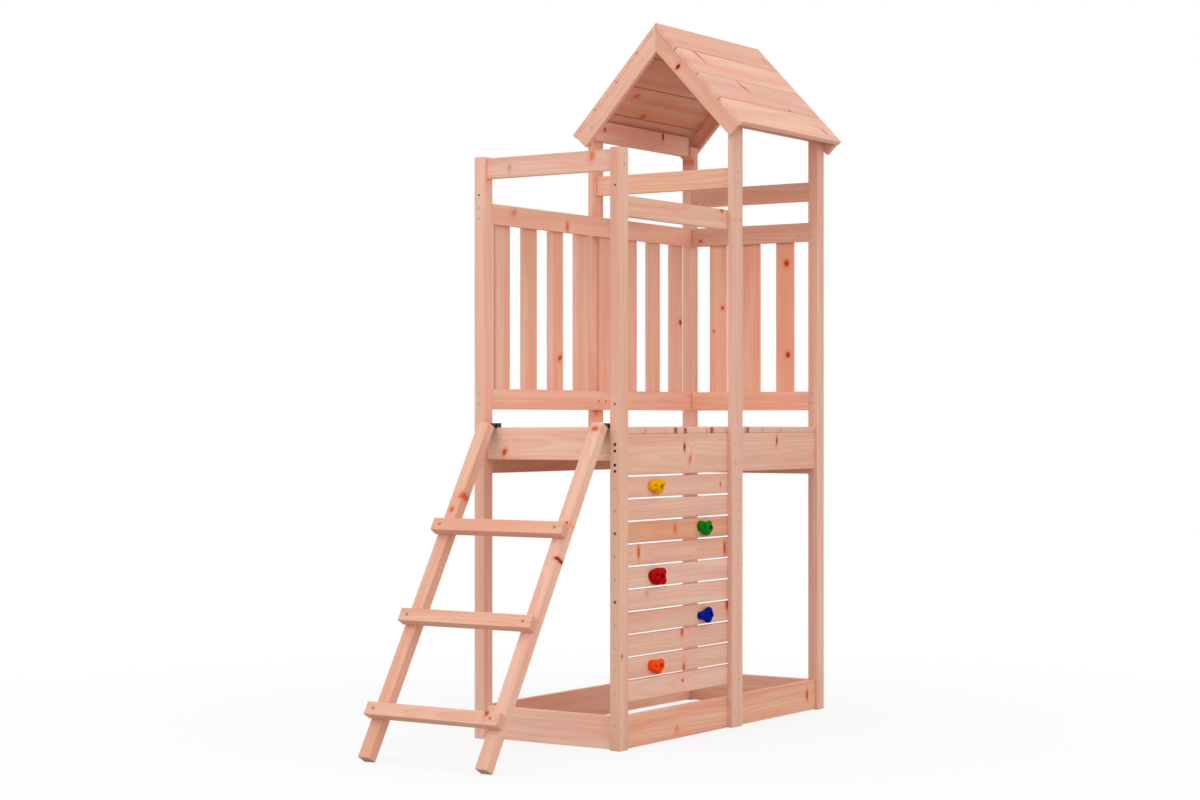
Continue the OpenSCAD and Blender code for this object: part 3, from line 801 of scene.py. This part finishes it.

# Screws that the far end shows beside its main ones: x, z. Dark screws and pilot holes, both made as dark
# heads that paint the shade in their sunk holes, in the ladder end's posts: side, z, size as a share, and in
# the fence's rail: y, z, size

FAR_SCREWS = [
    (-0.172, 1.556), (-0.172, 1.525), (0.173, 1.558), (0.173, 1.525), (0.173, 1.409),
    (0.214, 1.440), (0.214, 1.410), (0.214, 0.940), (0.214, 0.911),
]
LADDER_DARK = [(1, 0.780, 0.9), (1, 0.727, 0.9), (1, 1.471, 0.6), (-1, 1.468, 0.6), (1, 0.902, 0.65)]
FENCE_DARK = [(0.263, 0.915, 0.6), (0.300, 0.915, 0.6)]

# Main screws of the ladder end's front post that are given painted shade, as sunk heads in shadow: z, and
# darkening as a share

DARK_SCREWS = np.array([(0.797, 1.0), (0.743, 1.0), (0.565, 0.75), (0.387, 0.75)])
DARK_REACH = 0.006
# Plain darkening of every ladder screw and of the hold bolts, as shares
LADDER_DARKENING, BOLT_DARKENING = 0.45, 0.7


def more_screws():
    """Place, outward direction, and size and darkening of the screws and holes beside the main ones; the
    dark screws' and holes' darkening is painted shade.
    """
    rows = [((x, FAR_FACE, z), -Y, (1, 0)) for x, z in FAR_SCREWS]
    rows += [((FENCE_FACE, y, z), X, (size, 1)) for y, z, size in FENCE_DARK]
    return rows + [((s * LADDER_POST_X, LADDER_FACE, z), -Y, (size, 1)) for s, z, size in LADDER_DARK]


# Bolt rings in millimetres: radius, height from the shank's end or below the head's top, and extra depth,
# then the share that the six-sided socket cuts

BOLT_RINGS = [
    (0.5, 0, 0, 0), (3.4, 0, 0, 0), (4.0, 0.6, 0, 0), (4.0, -7.0, 0, 0), (5.8, -7.0, 0, 0),
    (6.0, -6.6, 0, 0), (6.0, -0.8, 0, 0), (5.5, -0.2, 0, 0), (3.6, -0.3, 0, 0.10),
    (3.4, -0.3, 0.3, 0.12), (3.3, -0.3, 3.6, 0.12), (0.6, -0.3, 4.0, 0),
]

# Nut rings from its bore round the flange and back, in millimetres: radius, height from the shank's end

NUT_RINGS = [
    (4.4, 3.0), (9.6, 3.0), (10.0, 2.6), (10.0, 1.6), (9.4, 1.0), (6.6, 0.6), (6.2, 0.1), (4.8, 0),
    (4.4, 0.4), (4.4, 3.0),
]
BOLT_SEGMENTS, NUT_SEGMENTS, SOCKET_SIDES = 24, 32, 6

# Hook straps: thickness, edges' radius, length on the ladder's rail, rise over the apron, lip behind it

HOOK_T, HOOK_ARRIS, HOOK_LEG, HOOK_RISE, HOOK_LIP = 0.003, 0.0008, 0.070, 0.009, 0.026


def hook_outline():
    """A hook strap from the side: up the ladder rail's back, over a saddle on the apron and down behind it.

    The leg lies on the line from the foot to the top corner of the rail's back. Its two sides run on along
    that line to the underside and the top of the strap over the apron.
    """
    (_, near, _), (_, far, top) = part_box("apron_ladder")
    rail = solids_of("ladder_rail_left")[0][:, 1:]
    head = rail[rail[:, 0].argmax()]
    up = head - rail[rail[:, 1].argmin()]
    up = up / np.linalg.norm(up)
    low = head - HOOK_LEG * up
    inner = low + HOOK_T * np.array([up[1], -up[0]])
    under, over, end = top + HOOK_RISE, top + HOOK_RISE + HOOK_T, top - HOOK_LIP
    bend, corner = (p + up * (z - p[1]) / up[1] for p, z in ((inner, under), (low, over)))
    saddle = [(near, under), (near, top), (far, top), (far, end), (far + HOOK_T, end), (far + HOOK_T, over)]
    return np.array([low, inner, bend, *saddle, corner])


# Climbing holds, in millimetres from the wall's face at the bolt: how knobbly they are as a share,
# lobes (along, up, out, radius) and dents (along, up, out, spread as an angle, depth as a share)

HOLDS = {
    "yellow": (
        0.40,
        [(-18, 3, 4, 15), (11, 9, 20, 12.5), (1, -9.5, 14, 13), (-4, 8, 11, 14), (1, 0, 13, 16)],
        [(-16, 2.8, 14, 0.17, 0.36), (11, 5, 26, 0.20, 0.12), (-18, -14, 8, 0.35, 0.10)],
    ),
    "green": (
        0.40,
        [(-19, 5, 5, 15.5), (-1, -11, 13, 12.5), (9, 13, 17, 8.5), (7, 0, 16, 12.5), (-6, 0, 10, 16)],
        [
            (0, 20, 15, 0.24, 0.38), (-15, 1, 12, 0.15, 0.30), (-15, 7, 12, 0.16, 0.34),
            (9, 6, 15, 0.16, 0.16),
        ],
    ),
    "red": (
        0.20,
        [
            (-17, 2, 4, 14.5), (15, 14, 22, 9.5), (16, -16, 22, 9.5), (-6, -12, 11, 13.5), (-2, 9, 13, 14),
            (2, -1, 14, 16),
        ],
        [(22, 1, 20, 0.22, 0.12), (-11, 3, 17, 0.16, 0.22), (-10, -12, 14, 0.20, 0.12)],
    ),
    "blue": (
        0.50,
        [(-22, -3, 4, 11), (5, 10, 16, 11.5), (3, -14, 15, 11.5), (8, -2, 17, 12), (-6, -2, 10, 13)],
        [(-10, 14, 10, 0.30, 0.16), (-12, -15, 10, 0.30, 0.12), (-12, 2, 16, 0.16, 0.18)],
    ),
    "orange": (
        0.40,
        [(-18, 1, 6, 15.5), (0, -12.5, 12, 12.5), (10, 9, 18, 9.5), (7, -2, 16, 12.5), (-4, -2, 11, 15.5)],
        [(-1, 18, 14, 0.22, 0.32), (-15, -2, 15, 0.16, 0.30), (12, -16, 10, 0.25, 0.08)],
    ),
}

# A hold's grid, the planes of its wrap, and the powers that blend balls and planes, over a middle radius

HOLD_TURNS, HOLD_RINGS, WRAP_SIDES = 96, 40, 700
BALL_POWER, WRAP_NORM, MIDDLE_R = 9, 30, 0.02

# Well for a bolt: radius, width and drop of its rounded lip, height of its floor, leans that are tried
# for its rim, and the sizes of the floor's and the back's inner rings as shares

WELL_R, WELL_LIP, WELL_DROP, WELL_FLOOR = 0.0064, 0.0012, 0.0007, 0.013
RIM_LEANS, FLOOR_INNER, BACK_INNER = (0.01, 0.8, 60), 0.2, 0.5


def lobed_reach(aim, knobbly, lobes, dents):
    """Distance in metres from the bolt's foot to a hold's skin in each direction.

    Two skins over the lobes' balls are mixed by the knobbly share. One is the mean of the distances at
    which the direction leaves the balls, each weighted by its own ninth power. The other is a tight wrap:
    planes that face evenly spread ways, spiralled by the golden angle, touch the outermost ball, and a
    high norm of the planes' nearness rounds the least distance to them. Each dent takes away a share that
    falls off as a bell over the angle from the dent's direction.
    """
    lobes = np.array(lobes)
    middles, radii = lobes[:, [2, 0, 1]] * MM, lobes[:, 3] * MM
    ahead = aim @ middles.T
    inside = ahead ** 2 - (middles ** 2).sum(axis=1) + radii ** 2
    leave = np.where(inside > 0, np.maximum(ahead + np.sqrt(np.maximum(inside, 0)), 0), 0) / MIDDLE_R
    weight = leave ** BALL_POWER
    union = MIDDLE_R * (leave * weight).sum(axis=-1) / np.maximum(weight.sum(axis=-1), 1e-9)
    count = np.arange(WRAP_SIDES)
    level, turn = 1 - (2 * count + 1) / WRAP_SIDES, count * math.pi * (3 - math.sqrt(5))
    ring = np.sqrt(1 - level ** 2)
    sides = np.stack([level, ring * np.cos(turn), ring * np.sin(turn)], axis=1)
    near = np.maximum(aim @ sides.T, 0) / (sides @ middles.T + radii).max(axis=1) * MIDDLE_R
    wrap = MIDDLE_R / (near ** WRAP_NORM).sum(axis=-1) ** (1 / WRAP_NORM)
    reach = knobbly * union + (1 - knobbly) * wrap
    for along, up, out, spread, depth in dents:
        to = np.array([out, along, up]) / math.hypot(out, along, up)
        reach = reach * (1 - depth * np.exp(-(np.arccos(np.clip(aim @ to, -1, 1)) / spread) ** 2))
    return reach


def hold_surface(wall, bolt, *form):
    """A knobbly hold on the wall's face, with a round well for its bolt.

    Turn t and lean a from the bolt's axis give a direction (cos a, sin a cos t, sin a sin t), and the skin
    is the lobed reach along it. The rings run from the well's rim, where reach times sin a is the well's
    radius and lip, to the wall. The well goes down from the rim to a flat floor.
    """
    turn = np.arange(HOLD_TURNS) * 2 * math.pi / HOLD_TURNS

    def skin(lean):
        aim = np.stack([np.cos(lean), np.sin(lean) * np.cos(turn), np.sin(lean) * np.sin(turn)], axis=-1)
        return aim * lobed_reach(aim, *form)[..., None]

    leans = np.repeat(np.linspace(*RIM_LEANS)[:, None], HOLD_TURNS, axis=1)
    wide = np.linalg.norm(skin(leans)[..., 1:], axis=-1)
    start = np.array([np.interp(WELL_R + WELL_LIP, w, a) for w, a in zip(wide.T, leans.T)])
    part = np.linspace(0, 1, HOLD_RINGS)[:, None]
    grid = skin(start + (math.pi / 2 - start) * part)
    edge = np.stack([np.zeros(HOLD_TURNS), np.cos(turn), np.sin(turn)], axis=-1) * WELL_R
    lip = edge + (grid[0] - WELL_DROP * X) * X
    floor = edge + WELL_FLOOR * X
    centre = edge * FLOOR_INNER + WELL_FLOOR * X
    back = grid[-1] * BACK_INNER * (Y + Z)
    grid = np.concatenate([[centre, floor, lip], grid, [back]]) + [wall, *bolt]
    rings = len(grid)
    quads = tube_quads(rings, HOLD_TURNS)[:, [0, 3, 2, 1]]
    first = np.arange(HOLD_TURNS)
    last = first[::-1] + (rings - 1) * HOLD_TURNS
    return grid.reshape(-1, 3), quads.tolist() + [first.tolist(), last.tolist()]


# Operators


class CLIMBING_OT_posts(bpy.types.Operator):
    """Make the four corner posts and the two flat middle posts"""

    bl_idname = "climbing.posts"
    bl_label = "Posts"

    def execute(self, context):
        straight_pieces(context, "post_ladder_back", "post_ladder_front", "post_mid_back", "post_mid_front")
        straight_pieces(context, "post_far_back", "post_far_front")
        return {"FINISHED"}


class CLIMBING_OT_base_boards(bpy.types.Operator):
    """Make the boards round the sandbox and the aprons under the platform"""

    bl_idname = "climbing.base_boards"
    bl_label = "Sandbox boards and aprons"

    def execute(self, context):
        for place in ("back", "front", "ladder", "far"):
            straight_pieces(context, "sandbox_board_" + place, "apron_" + place)
        return {"FINISHED"}


class CLIMBING_OT_platform(bpy.types.Operator):
    """Make the platform planks, the first one notched round the posts"""

    bl_idname = "climbing.platform"
    bl_label = "Platform planks"

    def execute(self, context):
        arris, node = context.scene.frame_fir.arris, "platform_planks"
        fir_piece(context, node, [face_board(s, arris, np.array([X, Y, Z])) for s in solids_of(node)])
        return {"FINISHED"}


WALL_BOARDS = 10


class CLIMBING_OT_wall(bpy.types.Operator):
    """Make the ten boards of the climbing wall"""

    bl_idname = "climbing.wall"
    bl_label = "Climbing wall"

    def execute(self, context):
        arris = context.scene.frame_fir.arris
        for number in range(1, WALL_BOARDS + 1):
            node = f"wall_board_{number}"
            corners = np.array(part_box(node))
            fir_piece(context, node, [straight_board(corners, arris, np.array([Y, Z, X]))])
        return {"FINISHED"}


class CLIMBING_OT_fences(bpy.types.Operator):
    """Make the rails and slats of both fences"""

    bl_idname = "climbing.fences"
    bl_label = "Fences"

    def execute(self, context):
        for place in ("back", "far"):
            rail = f"fence_rail_{place}_"
            straight_pieces(context, rail + "upper", rail + "lower", "fence_slats_" + place)
        return {"FINISHED"}


class CLIMBING_OT_handrails(bpy.types.Operator):
    """Make the four rails to hold on to"""

    bl_idname = "climbing.handrails"
    bl_label = "Handrails"

    def execute(self, context):
        straight_pieces(context, "handrail_ladder", "handrail_middle", "handrail_far", "handrail_wall")
        return {"FINISHED"}


# Rafter corners nearer to the ridge than the gap keep a share of their distance, so that the pairs meet.
# Rafters' edges have a share of the planks' arris

RIDGE_GAP, RIDGE_SHARE, RAFTER_ARRIS = 0.001, 0.2, 0.5


class CLIMBING_OT_roof(bpy.types.Operator):
    """Make the rafters, the roof planks and the boards under the eaves"""

    bl_idname = "climbing.roof"
    bl_label = "Roof"

    def execute(self, context):
        arris = context.scene.frame_fir.roof_arris
        for side in ("left", "right"):
            for end in ("front", "rear"):
                node = f"rafter_{end}_{side}"
                solid = solids_of(node)[0]
                solid[:, 0] *= np.where(np.abs(solid[:, 0]) < RIDGE_GAP, RIDGE_SHARE, 1)
                down = slope_down(solid)
                square = np.cross(Y, down)
                axes = np.array([down, square, np.cross(down, square)])
                fir_piece(context, node, [face_board(solid, arris * RAFTER_ARRIS, axes)])
            node = "roof_planks_" + side
            solids = solids_of(node)
            down = slope_down(np.concatenate(solids))
            axes = np.array([Y, down, np.cross(Y, down)])
            fir_piece(context, node, [section_board(s, arris, axes) for s in solids])
        straight_pieces(context, "eave_plate_back", "eave_plate_front")
        return {"FINISHED"}


class CLIMBING_OT_ladder(bpy.types.Operator):
    """Make the ladder's rails and rungs"""

    bl_idname = "climbing.ladder"
    bl_label = "Ladder"

    def execute(self, context):
        straight_pieces(context, "ladder_rail_left", "ladder_rail_right")
        straight_pieces(context, "ladder_rung_1", "ladder_rung_2", "ladder_rung_3")
        return {"FINISHED"}


class CLIMBING_OT_holds(bpy.types.Operator):
    """Make the five climbing holds"""

    bl_idname = "climbing.holds"
    bl_label = "Climbing holds"

    def execute(self, context):
        colours = context.scene.frame_holds
        bolts = sorted(solids_of("hold_bolts"), key=lambda s: -s[:, 2].mean())
        for (name, form), bolt in zip(HOLDS.items(), bolts):
            middle = (bolt.min(axis=0) + bolt.max(axis=0))[1:] / 2
            points, faces = hold_surface(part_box("hold_" + name)[0][0], middle, *form)
            slot = "plastic_" + name
            plastic = finish_of(slot, plastic_material, tuple(getattr(colours, name)))
            new_piece("hold." + name, points, faces, plastic, slot, "hold_" + name)
        return {"FINISHED"}


class CLIMBING_OT_screws(bpy.types.Operator):
    """Make the screw heads of the tower and of the ladder"""

    bl_idname = "climbing.screws"
    bl_label = "Screws"

    def execute(self, context):
        middle = np.mean(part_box("platform_planks"), axis=0)
        places, outs = screw_places("frame_screws", middle)
        # Main screws near the dark places take their painted shade
        dark = np.array([(LADDER_POST_X, LADDER_FACE, z) for z in DARK_SCREWS[:, 0]])
        gap = np.linalg.norm(places[:, None] - dark[None], axis=2)
        darker_share = np.where(gap.min(axis=1) < DARK_REACH, DARK_SCREWS[gap.argmin(axis=1), 1], 0)
        looks = np.stack([np.ones(len(darker_share)), darker_share], axis=1)
        every = [np.vstack([a, np.array(b)]) for a, b in zip((places, outs, looks), zip(*more_screws()))]
        screw_piece(context, "screws.tower", *every, "frame_screws")
        places, outs = screw_places("ladder_screws", middle)
        looks = np.tile((1, LADDER_DARKENING), (len(places), 1))
        screw_piece(context, "screws.ladder", places, outs, looks, "ladder_screws")
        return {"FINISHED"}


class CLIMBING_OT_steel(bpy.types.Operator):
    """Make the hold bolts, their flanged nuts and the ladder's hook straps"""

    bl_idname = "climbing.steel"
    bl_label = "Bolts, nuts and hooks"

    def execute(self, context):
        steel = context.scene.frame_steel
        zinc = finish_of("zinc", metal_material, tuple(steel.zinc), *ZINC)
        strap = finish_of("strap", metal_material, tuple(steel.strap), *STRAP)
        boxes = np.array([[s.min(axis=0), s.max(axis=0)] for s in solids_of("hold_bolts")])
        feet = boxes.mean(axis=1) * (Y + Z) + boxes[:, 0] * X
        outs = np.tile(X, (len(feet), 1))
        radii, heights, sunk, six_sided = (np.array(BOLT_RINGS) * [MM, MM, MM, 1]).T
        heights = np.where(heights < 0, np.ptp(boxes[0], axis=0)[0] + heights, heights)
        points, faces = heads(feet, outs, radii, heights, BOLT_SEGMENTS, (SOCKET_SIDES, sunk, six_sided))
        bolts = new_piece("steel.bolts", points, faces, zinc, "screw_steel", "hold_bolts")
        store(bolts.data, "tarnish", "FACE", np.full((len(faces), 3), BOLT_DARKENING))
        points, faces = heads(feet, outs, *np.array(NUT_RINGS).T * MM, NUT_SEGMENTS)
        new_piece("steel.nuts", points, faces, zinc, "screw_steel", "hold_nuts")
        straps = []
        for solid in solids_of("ladder_hooks"):
            made, loops = prism(hook_outline(), solid[:, 0].min(), solid[:, 0].max(), HOOK_ARRIS)
            straps.append((made[:, [2, 0, 1]], loops))
        new_piece("steel.hooks", *joined(straps), strap, "hook_steel", "ladder_hooks")
        return {"FINISHED"}


# Stage: the floor's half width and roughness, how white it is near the object and where that fades to full,
# the place the lamps face, each lamp's place and size, and the camera's sensor in millimetres and its reach

FLOOR_HALF, FLOOR_ROUGH = 60.0, 0.9
FLOOR_NEAR_WHITE, FLOOR_FADE = 0.8, (0.8, 2.6)
LIT_MIDDLE = (0, 0, 1.0)
KEY_PLACE, KEY_SIZE = (-0.4, -4.4, 4.6), 3.2
FILL_PLACE, FILL_SIZE = (4.8, -1.6, 2.2), 3.0
SENSOR_W, CAMERA_REACH = 36, 200


def seen_rays(tree):
    """1 for a ray from the camera, from gloss or through glass, else 0."""
    path = add_node(tree, "LightPath").outputs
    gloss = calc(tree, "MAXIMUM", path["Is Glossy Ray"], path["Is Transmission Ray"])
    return calc(tree, "MAXIMUM", path["Is Camera Ray"], gloss)


def make_floor(stage):
    """A wide pale plane that keeps the shadow and shows mostly as white to the camera."""
    mesh = bpy.data.meshes.new("floor")
    corners = np.array([[-1, -1, 0], [1, -1, 0], [1, 1, 0], [-1, 1, 0]]) * FLOOR_HALF
    mesh.from_pydata(corners.tolist(), [], [[0, 1, 2, 3]])
    floor = bpy.data.objects.new("floor", mesh)
    bpy.context.scene.collection.objects.link(floor)
    made, tree, shader = new_material("floor")
    seen = seen_rays(tree)
    feed(tree, shader, {
        "Base Color": mix(tree, seen, tuple(stage.bounce), tuple(stage.floor)),
        "Roughness": FLOOR_ROUGH,
        "Specular IOR Level": 0.0,
    })
    glow = add_node(tree, "Emission", {"Color": (1, 1, 1, 1), "Strength": 1.0})
    place = add_node(tree, "TexCoord").outputs["Object"]
    away = add_node(tree, "VectorMath", {0: place}, operation="LENGTH").outputs["Value"]
    away = smooth(tree, away, *FLOOR_FADE)
    white = calc(tree, "MULTIPLY_ADD", away, 1 - FLOOR_NEAR_WHITE, FLOOR_NEAR_WHITE)
    inputs = {0: times(tree, seen, white), 1: shader.outputs[0], 2: glow.outputs[0]}
    mixed = add_node(tree, "MixShader", inputs)
    tree.links.new(mixed.outputs[0], tree.nodes["Material Output"].inputs["Surface"])
    mesh.materials.append(made)


def make_light(scene, stage):
    """An even white sky that shows as plain white, a large lamp in front and a softer one at the side."""
    scene.world = scene.world or bpy.data.worlds.new("sky")
    scene.world.use_nodes = True
    tree = scene.world.node_tree
    white = calc(tree, "MULTIPLY_ADD", seen_rays(tree), 1 - stage.sky, stage.sky)
    feed(tree, tree.nodes["Background"], {"Color": (1, 1, 1, 1), "Strength": white})
    lamps = (("key", stage.key, KEY_PLACE, KEY_SIZE), ("fill", stage.fill, FILL_PLACE, FILL_SIZE))
    for name, power, place, size in lamps:
        lamp = bpy.data.lights.new(name, "AREA")
        lamp.energy, lamp.size = power, size
        made = bpy.data.objects.new(name, lamp)
        scene.collection.objects.link(made)
        made.location = place
        made.rotation_euler = (Vector(LIT_MIDDLE) - made.location).to_track_quat("-Z", "Y").to_euler()


def make_camera(scene, stage):
    """A level camera at the photograph's height, turned towards the tower, its picture shifted upwards."""
    lens = bpy.data.cameras.new("camera")
    lens.sensor_width, lens.lens, lens.shift_y = SENSOR_W, stage.lens, stage.shift
    lens.clip_end = CAMERA_REACH
    made = bpy.data.objects.new("camera", lens)
    scene.collection.objects.link(made)
    made.location = stage.eye
    made.rotation_euler = (math.pi / 2, 0, math.radians(stage.heading))
    scene.camera = made


class CLIMBING_OT_stage(bpy.types.Operator):
    """Make the floor, the light and the camera"""

    bl_idname = "climbing.stage"
    bl_label = "Stage"

    def execute(self, context):
        stage = context.scene.frame_stage
        make_floor(stage)
        make_light(context.scene, stage)
        make_camera(context.scene, stage)
        context.scene.view_settings.view_transform = "Standard"
        return {"FINISHED"}


STEPS = (
    CLIMBING_OT_posts, CLIMBING_OT_base_boards, CLIMBING_OT_platform, CLIMBING_OT_wall, CLIMBING_OT_fences,
    CLIMBING_OT_handrails, CLIMBING_OT_roof, CLIMBING_OT_ladder, CLIMBING_OT_holds, CLIMBING_OT_screws,
    CLIMBING_OT_steel, CLIMBING_OT_stage,
)
SETTINGS = {
    "frame_fir": FirSettings, "frame_holds": HoldSettings, "frame_steel": SteelSettings,
    "frame_stage": StageSettings,
}


class CLIMBING_PT_panel(bpy.types.Panel):
    """Lists the steps that dress the climbing frame, and the settings they use"""

    bl_label = "Climbing frame"
    bl_space_type = "VIEW_3D"
    bl_region_type = "UI"
    bl_category = "Climbing frame"

    def draw(self, context):
        for name, group in SETTINGS.items():
            box = self.layout.box()
            for key in group.__annotations__:
                box.prop(getattr(context.scene, name), key)
        for step in STEPS:
            self.layout.operator(step.bl_idname)


def register():
    """Adds the settings, the steps and the panel to Blender."""
    for group in SETTINGS.values():
        bpy.utils.register_class(group)
    for name, group in SETTINGS.items():
        setattr(bpy.types.Scene, name, PointerProperty(type=group))
    for made in (*STEPS, CLIMBING_PT_panel):
        bpy.utils.register_class(made)


def unregister():
    """Takes them away again."""
    for made in (CLIMBING_PT_panel, *reversed(STEPS)):
        bpy.utils.unregister_class(made)
    for name, group in SETTINGS.items():
        delattr(bpy.types.Scene, name)
        bpy.utils.unregister_class(group)


def main():
    """Runs every step in order."""
    register()
    for step in STEPS:
        group, name = step.bl_idname.split(".")
        getattr(getattr(bpy.ops, group), name)()


if __name__ == "__main__":
    main()
